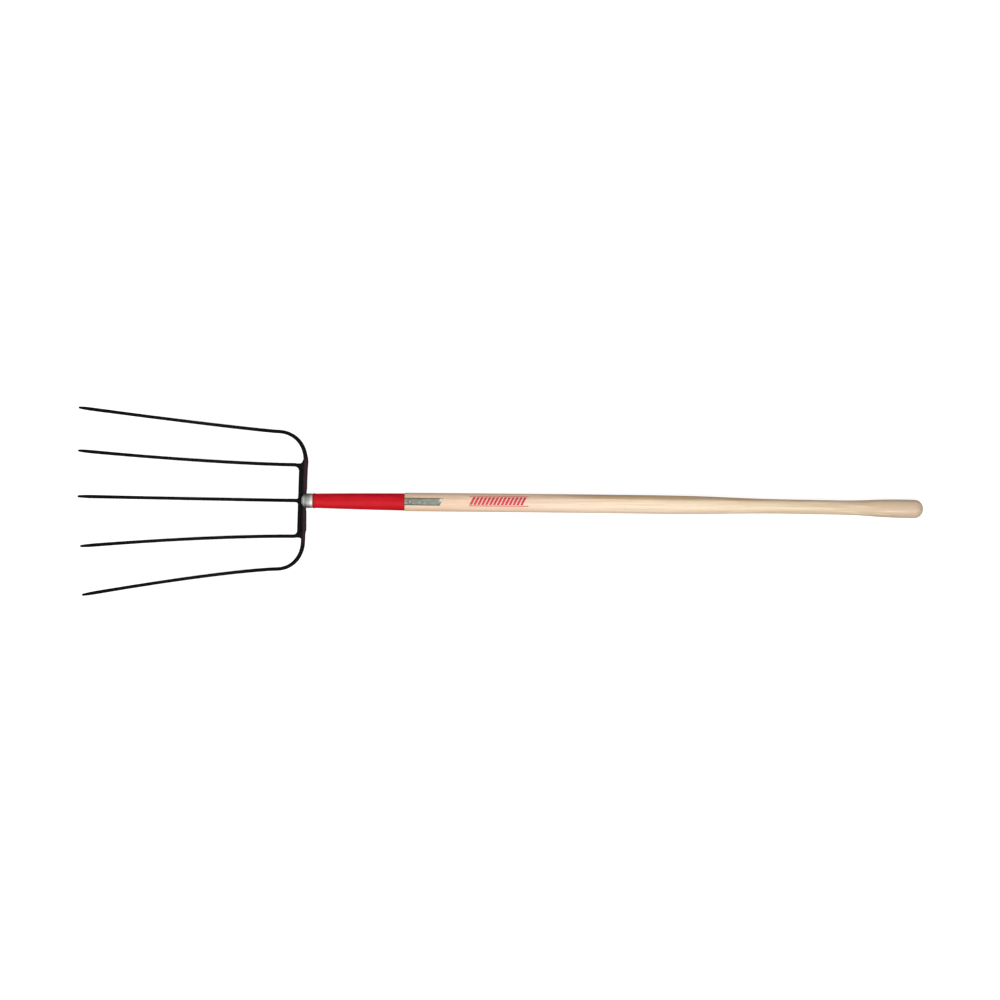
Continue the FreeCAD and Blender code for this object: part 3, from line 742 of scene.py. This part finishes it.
class Finish:
    """Node tree of one material, with short calls for the nodes that the finishes share."""

    def __init__(self, name, roughness, metallic=0.0, specular=0.5, coat=0.0, coat_roughness=0.1):
        self.material = bpy.data.materials.new(name)
        self.material.use_nodes = True
        self.nodes = self.material.node_tree.nodes
        self.links = self.material.node_tree.links
        self.shader = self.nodes["Principled BSDF"]
        self.shader.inputs["Roughness"].default_value = roughness
        self.shader.inputs["Metallic"].default_value = metallic
        self.shader.inputs["Specular IOR Level"].default_value = specular
        self.shader.inputs["Coat Weight"].default_value = coat
        self.shader.inputs["Coat Roughness"].default_value = coat_roughness
        self.place = self.tool_place()

    def feed(self, socket, value):
        """Link a socket, or set a number, vector or colour on it."""
        if isinstance(value, bpy.types.NodeSocket):
            self.links.new(value, socket)
        elif isinstance(value, tuple) and len(value) == 3 and socket.type == "RGBA":
            socket.default_value = (*value, 1.0)
        else:
            socket.default_value = value

    def tool_place(self):
        """Place on the tool, in its own frame and in millimetres."""
        coordinates = self.nodes.new("ShaderNodeTexCoord")
        mapping = self.nodes.new("ShaderNodeMapping")
        back = Matrix.Rotation(-PITCH, 3, "Y")
        mapping.inputs["Scale"].default_value = (1 / MM,) * 3
        mapping.inputs["Rotation"].default_value = (0, -PITCH, 0)
        mapping.inputs["Location"].default_value = -(back @ TOOL_ORIGIN) / MM
        self.links.new(coordinates.outputs["Object"], mapping.inputs["Vector"])
        return mapping.outputs["Vector"]

    def math(self, operation, first, second=0.0):
        """Math node."""
        node = self.nodes.new("ShaderNodeMath")
        node.operation = operation
        self.feed(node.inputs[0], first)
        self.feed(node.inputs[1], second)
        return node.outputs[0]

    def stretch(self, scale, shift=(0, 0, 0)):
        """The place scaled by three numbers, for textures that run along the tool."""
        node = self.nodes.new("ShaderNodeMapping")
        self.links.new(self.place, node.inputs["Vector"])
        node.inputs["Scale"].default_value = scale
        node.inputs["Location"].default_value = shift
        return node.outputs["Vector"]

    def noise(self, scale, detail=3.0, rough=0.5, shift=(0, 0, 0)):
        """Noise from 0 to 1 with its own scale per millimetre along X, Y and Z."""
        node = self.nodes.new("ShaderNodeTexNoise")
        self.links.new(self.stretch(scale, shift), node.inputs["Vector"])
        node.inputs["Scale"].default_value = 1.0
        node.inputs["Detail"].default_value = detail
        node.inputs["Roughness"].default_value = rough
        return node.outputs["Fac"]

    def axis(self, letter):
        """One coordinate of the place."""
        node = self.nodes.new("ShaderNodeSeparateXYZ")
        self.links.new(self.place, node.inputs[0])
        return node.outputs[letter]

    def span(self, value, low, high, out_low=0.0, out_high=1.0):
        """Smoothly map a range of values to another."""
        node = self.nodes.new("ShaderNodeMapRange")
        node.interpolation_type = "SMOOTHSTEP"
        self.feed(node.inputs["Value"], value)
        node.inputs["From Min"].default_value = low
        node.inputs["From Max"].default_value = high
        node.inputs["To Min"].default_value = out_low
        node.inputs["To Max"].default_value = out_high
        return node.outputs["Result"]

    def ramp(self, value, stops):
        """Colour ramp through (place, colour) stops."""
        node = self.nodes.new("ShaderNodeValToRGB")
        self.feed(node.inputs["Fac"], value)
        band = node.color_ramp
        while len(band.elements) < len(stops):
            band.elements.new(0.5)
        for element, (place, colour) in zip(band.elements, stops):
            element.position = place
            element.color = (*colour, 1.0)
        return node.outputs["Color"]

    def mix(self, share, first, second):
        """Mix of two colours."""
        node = self.nodes.new("ShaderNodeMix")
        node.data_type = "RGBA"
        self.feed(node.inputs["Factor"], share)
        self.feed(node.inputs[6], first)
        self.feed(node.inputs[7], second)
        return node.outputs[2]

    def colour(self, value):
        """Feed the shader's colour."""
        self.feed(self.shader.inputs["Base Color"], value)

    def roughness(self, value):
        """Feed the shader's roughness."""
        self.feed(self.shader.inputs["Roughness"], value)

    def bump(self, height, distance):
        """Bump of this depth in millimetres."""
        node = self.nodes.new("ShaderNodeBump")
        node.inputs["Strength"].default_value = 1.0
        node.inputs["Distance"].default_value = distance * MM
        self.feed(node.inputs["Height"], height)
        self.links.new(node.outputs["Normal"], self.shader.inputs["Normal"])


# Purple-brown colour of the painted highlight on the crossbar's rear bar
REAR_BAR_HIGHLIGHT = (0.027, 0.013, 0.018)
# Pale colour of bare filed metal and of painted highlights on the plating
BARE_AND_HIGHLIGHT_ZINC = (0.86, 0.84, 0.78)
RING_PITCH = 3.4


def painted_rear_bar_highlight(finish):
    """Share of the painted highlight, a purple-brown tint, on the rear face of the crossbar."""
    rear = finish.span(finish.axis("X"), -1.0, 4.0)
    near = finish.span(finish.math("ABSOLUTE", finish.axis("Y")), 96.0, 70.0)
    return finish.math("MULTIPLY", rear, near)


def black_steel():
    """Black baked finish on forged rod, with a purple-brown painted highlight on the crossbar's rear
    face.
    """
    finish = Finish("black_steel", 0.36, specular=0.06)
    cloud = finish.noise((0.05, 0.08, 0.08), 4.0, 0.6)
    base = finish.ramp(cloud, [(0.3, (0.0008, 0.0008, 0.0010)), (0.7, (0.0030, 0.0028, 0.0028))])
    finish.colour(finish.mix(painted_rear_bar_highlight(finish), base, REAR_BAR_HIGHLIGHT))
    finish.roughness(finish.span(finish.noise((0.3, 0.3, 0.3), 3.0), 0.25, 0.75, 0.28, 0.45))
    finish.bump(finish.noise((0.5, 0.9, 0.9), 4.0, 0.6), 0.12)
    return finish.material


def weld_steel():
    """Weld under the same black finish, a little duller, with the same painted highlight on the
    crossbar's rear face.
    """
    finish = Finish("weld", 0.5, specular=0.06)
    cloud = finish.noise((0.4, 0.4, 0.4))
    base = finish.ramp(cloud, [(0.3, (0.0015, 0.0015, 0.0015)), (0.7, (0.0050, 0.0045, 0.0045))])
    finish.colour(finish.mix(painted_rear_bar_highlight(finish), base, REAR_BAR_HIGHLIGHT))
    finish.roughness(finish.span(finish.noise((0.8, 0.8, 0.8)), 0.3, 0.7, 0.4, 0.62))
    finish.bump(finish.noise((1.1, 1.1, 1.1), 4.0, 0.6), 0.2)
    return finish.material


def zinc_plate(name, dark, light, roughness, bare_and_highlight, lean):
    """Plated steel with faint spangle and drawn streaks, and a painted reflection: lighter towards +Y by
    lean.

    The fifth argument maps the finish to its share of bare metal and painted highlight.
    """
    finish = Finish(name, roughness, metallic=1.0)
    cells = finish.nodes.new("ShaderNodeTexVoronoi")
    finish.links.new(finish.stretch((0.22, 0.3, 0.3)), cells.inputs["Vector"])
    cells.inputs["Scale"].default_value = 1.0
    spangle = finish.nodes.new("ShaderNodeSeparateColor")
    finish.links.new(cells.outputs["Color"], spangle.inputs["Color"])
    streaks = finish.noise((0.03, 0.9, 0.9), 4.0, 0.6)
    blotch = finish.noise((0.16, 0.16, 0.16), 3.0, 0.6)
    mixed = finish.math("MULTIPLY", spangle.outputs["Red"], 0.12)
    mixed = finish.math("ADD", mixed, finish.math("MULTIPLY", streaks, 0.5))
    mixed = finish.math("ADD", mixed, finish.math("MULTIPLY", blotch, 0.35))
    # Painted reflection: the plating is lighter towards +Y and darker towards -Y, by lean
    mixed = finish.math("ADD", mixed, finish.span(finish.axis("Y"), -5.0, 6.0, -lean, lean))
    plated = finish.ramp(mixed, [(0.3, dark), (0.72, light)])
    finish.colour(finish.mix(bare_and_highlight(finish), plated, BARE_AND_HIGHLIGHT_ZINC))
    finish.roughness(finish.span(streaks, 0.3, 0.7, roughness - 0.07, roughness + 0.1))
    finish.bump(streaks, 0.02)
    return finish.material


def filed_end_and_highlight(finish):
    """Share of bare metal and painted highlight on the strap: its filed, slanted end, bright only on its
    upper half.
    """
    slope = (STRAP_LONG_END - STRAP_SHORT_END) / (2 * STRAP_HALF_WIDTH)
    slant = finish.math("MULTIPLY", finish.axis("Y"), slope)
    along = finish.math("SUBTRACT", finish.axis("X"), slant)
    bevel = (STRAP_LONG_END + STRAP_SHORT_END) / 2 - STRAP_BEVEL
    # Painted highlight: the filed end is bright on its upper half only, where light catches the bevel
    painted_highlight_upper = finish.span(finish.axis("Y"), -1.0, 5.0, 0.0, 0.75)
    return finish.math("MULTIPLY", finish.span(along, bevel - 3.0, bevel + 2.0), painted_highlight_upper)


def painted_cap_highlight(finish):
    """Share of painted highlight on the cap: its rim beside the sleeve, and the crown of the dome."""
    rim = finish.span(finish.axis("X"), 13.0, 17.0, 0.0, 0.42)
    crown = finish.span(finish.axis("X"), 6.0, 2.0, 0.0, 0.95)
    return finish.math("MAXIMUM", rim, crown)


def red_enamel():
    """Glossy red enamel with a little orange peel, and painted shade at the front bead and the rear edge.
    """
    finish = Finish("red_enamel", 0.35, specular=0.07, coat=0.04, coat_roughness=0.1)
    cloud = finish.noise((0.03, 0.08, 0.08), 3.0)
    paint = finish.ramp(cloud, [(0.25, (0.44, 0.003, 0.009)), (0.75, (0.51, 0.006, 0.014))])
    # Painted shade: darker red where the rolled front bead curves away and where the rolled-in rear edge
    # casts its shadow
    front = finish.span(finish.axis("X"), 21.0, 27.5, 0.55, 0.0)
    rear = finish.span(finish.axis("X"), SLEEVE_END - 2.5, SLEEVE_END, 0.0, 0.5)
    finish.colour(finish.mix(finish.math("MAXIMUM", front, rear), paint, (0.20, 0.004, 0.008)))
    finish.bump(finish.noise((0.35, 0.35, 0.35), 2.0), 0.06)
    return finish.material


def printed_ink():
    """Red ink, slightly worn through to the wood."""
    finish = Finish("printed_ink", 0.5, specular=0.3, coat=0.25, coat_roughness=0.2)
    wear = finish.noise((0.25, 1.2, 1.2), 4.0, 0.6)
    finish.colour(finish.ramp(wear, [(0.52, (0.60, 0.016, 0.048)), (0.72, (0.68, 0.18, 0.18))]))
    return finish.material


def dark_band_length(finish):
    """Share of the dark streak along the handle."""
    start = finish.span(finish.axis("X"), 440.0, 590.0)
    return finish.math("MULTIPLY", start, finish.span(finish.axis("X"), 1080.0, 860.0))


def ash_wood():
    """Clear-lacquered ash: growth rings, fibres, pores and a tone that deepens to the butt."""
    finish = Finish("ash_wood", 0.45, specular=0.3, coat=0.3, coat_roughness=0.18)
    along = finish.math("DIVIDE", finish.axis("X"), HANDLE_END)
    tone = finish.ramp(
        along,
        [
            (0.16, (0.70, 0.485, 0.335)),
            (0.32, (0.72, 0.51, 0.37)),
            (0.48, (0.77, 0.605, 0.45)),
            (0.65, (0.745, 0.60, 0.43)),
            (0.76, (0.66, 0.53, 0.355)),
            (0.90, (0.56, 0.425, 0.28)),
            (1.0, (0.515, 0.385, 0.27)),
        ],
    )
    pith = finish.nodes.new("ShaderNodeVectorMath")
    pith.operation = "LENGTH"
    finish.links.new(finish.stretch((0.012, 1.0, 1.0), (0, 46.0, 70.0)), pith.inputs[0])
    wander = finish.math("MULTIPLY", finish.noise((0.006, 0.05, 0.05), 2.0), 9.0)
    rings = finish.math("ADD", pith.outputs["Value"], wander)
    phase = finish.math("FRACT", finish.math("DIVIDE", rings, RING_PITCH))
    levels = ((0.0, 0.0), (0.55, 0.25), (0.86, 1.0), (1.0, 0.0))
    late = finish.ramp(phase, [(place, (level,) * 3) for place, level in levels])
    fibre = finish.noise((0.012, 0.9, 0.9), 5.0, 0.65)
    streak = finish.noise((0.0045, 0.17, 0.17), 3.0, 0.55, (3.0, 7.0, 1.0))
    pale = finish.noise((0.007, 0.24, 0.24), 3.0, 0.55, (9.0, 2.0, 4.0))
    pores = finish.noise((0.08, 2.4, 2.4), 2.0, 0.4, (0, 11.0, 5.0))
    # A dark streak on the +Y side of the handle, ragged along its length; towards the waist it darkens
    # the top edge
    heart = finish.math("MULTIPLY", finish.span(finish.axis("Y"), 10.0, 13.0), dark_band_length(finish))
    ragged = finish.noise((0.008, 0.5, 0.5), 4.0, 0.6, (1.7, 0, 0))
    heart = finish.math("MULTIPLY", heart, finish.span(ragged, 0.3, 0.55, 0.45, 1.0))
    color = finish.mix(finish.math("MULTIPLY", late, 0.26), tone, (0.46, 0.31, 0.18))
    color = finish.mix(finish.span(fibre, 0.52, 0.75, 0.0, 0.3), color, (0.48, 0.33, 0.20))
    color = finish.mix(finish.span(streak, 0.5, 0.7, 0.0, 0.42), color, (0.50, 0.33, 0.22))
    color = finish.mix(finish.span(pale, 0.5, 0.7, 0.0, 0.45), color, (0.84, 0.70, 0.54))
    color = finish.mix(finish.math("MULTIPLY", heart, 0.95), color, (0.47, 0.305, 0.165))
    color = finish.mix(finish.span(pores, 0.62, 0.72, 0.0, 0.3), color, (0.34, 0.22, 0.13))
    finish.colour(color)
    finish.roughness(finish.span(fibre, 0.3, 0.7, 0.38, 0.52))
    finish.bump(finish.math("ADD", fibre, finish.math("MULTIPLY", pores, 0.5)), 0.05)
    return finish.material


# Stage

def add_floor():
    """Plain pale floor, lit a little from inside like a light table."""
    half = 30.0
    below = 0.0005
    corners = [(-half, -half, 0), (half, -half, 0), (half, half, 0), (-half, half, 0)]
    mesh = bpy.data.meshes.new("floor")
    mesh.from_pydata(corners, [], [(0, 1, 2, 3)])
    floor = bpy.data.objects.new("floor", mesh)
    bpy.context.scene.collection.objects.link(floor)
    floor.location.z = -below
    material = bpy.data.materials.new("floor")
    material.use_nodes = True
    shader = material.node_tree.nodes["Principled BSDF"]
    shader.inputs["Base Color"].default_value = (0.45, 0.45, 0.45, 1)
    shader.inputs["Roughness"].default_value = 0.9
    shader.inputs["Specular IOR Level"].default_value = 0.0
    shader.inputs["Emission Color"].default_value = (1, 1, 1, 1)
    shader.inputs["Emission Strength"].default_value = 0.7
    mesh.materials.append(material)
    floor.visible_diffuse = False
    floor.visible_glossy = False


def add_sky():
    """White studio ceiling that darkens below the horizon."""
    world = bpy.data.worlds.new("studio")
    world.use_nodes = True
    nodes = world.node_tree.nodes
    links = world.node_tree.links
    coordinates = nodes.new("ShaderNodeTexCoord")
    height = nodes.new("ShaderNodeSeparateXYZ")
    links.new(coordinates.outputs["Generated"], height.inputs[0])
    band = nodes.new("ShaderNodeMapRange")
    band.inputs["From Min"].default_value = -1.0
    band.inputs["From Max"].default_value = 1.0
    links.new(height.outputs["Z"], band.inputs["Value"])
    ramp = nodes.new("ShaderNodeValToRGB")
    stops = [(0.0, 0.14), (0.47, 0.2), (0.53, 0.7), (0.8, 0.95), (1.0, 1.0)]
    while len(ramp.color_ramp.elements) < len(stops):
        ramp.color_ramp.elements.new(0.5)
    for element, (place, level) in zip(ramp.color_ramp.elements, stops):
        element.position = place
        element.color = (level, level, level, 1)
    links.new(band.outputs["Result"], ramp.inputs["Fac"])
    links.new(ramp.outputs["Color"], nodes["Background"].inputs["Color"])
    nodes["Background"].inputs["Strength"].default_value = 0.85
    bpy.context.scene.world = world


def add_sun(name, strength, angle, tilt):
    """Wide soft lamp; tilt is its turn about X and Y from straight down, in degrees."""
    data = bpy.data.lights.new(name, "SUN")
    data.energy = strength
    data.angle = math.radians(angle)
    lamp = bpy.data.objects.new(name, data)
    lamp.rotation_euler = (math.radians(tilt[0]), math.radians(tilt[1]), 0)
    bpy.context.scene.collection.objects.link(lamp)


def add_camera():
    """Long lens straight above, turned a little so the tool lies as it does in the photo."""
    distance = 20.0
    frame_width = 2.0
    center = (-0.0015, 0.0066)
    turn = math.radians(0.785)
    data = bpy.data.cameras.new("camera")
    data.sensor_width = 36.0
    data.lens = data.sensor_width * distance / frame_width
    data.clip_end = 100.0
    camera = bpy.data.objects.new("camera", data)
    bpy.context.scene.collection.objects.link(camera)
    camera.location = (*center, TOOL_ORIGIN.z + distance)
    camera.rotation_euler = (0, 0, turn)
    bpy.context.scene.camera = camera


def build():
    """Everything, in the order of assembly."""
    steel = black_steel()
    bright = zinc_plate("zinc_cap", (0.20, 0.21, 0.19), (0.42, 0.43, 0.40), 0.46, painted_cap_highlight, 0.0)
    # The strap carries a painted reflection, lighter towards +Y
    plated = zinc_plate("zinc_strap", (0.12, 0.137, 0.107), (0.31, 0.325, 0.285), 0.42, filed_end_and_highlight, 0.16)
    add_head(steel)
    add_welds(weld_steel())
    add_cap(bright)
    add_sleeve(red_enamel())
    add_strap("front_strap", 1, plated)
    add_strap("rear_strap", -1, plated)
    add_rivet(plated)
    add_handle(ash_wood())
    add_print(printed_ink())
    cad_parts["tang_pin"].data.materials.clear()
    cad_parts["tang_pin"].data.materials.append(steel)
    add_floor()
    add_sky()
    add_sun("key", 1.35, 60.0, (34.0, 0.0))
    add_sun("top", 0.5, 90.0, (-6.0, 8.0))
    add_camera()
    bpy.context.scene.view_settings.view_transform = "Standard"


build()
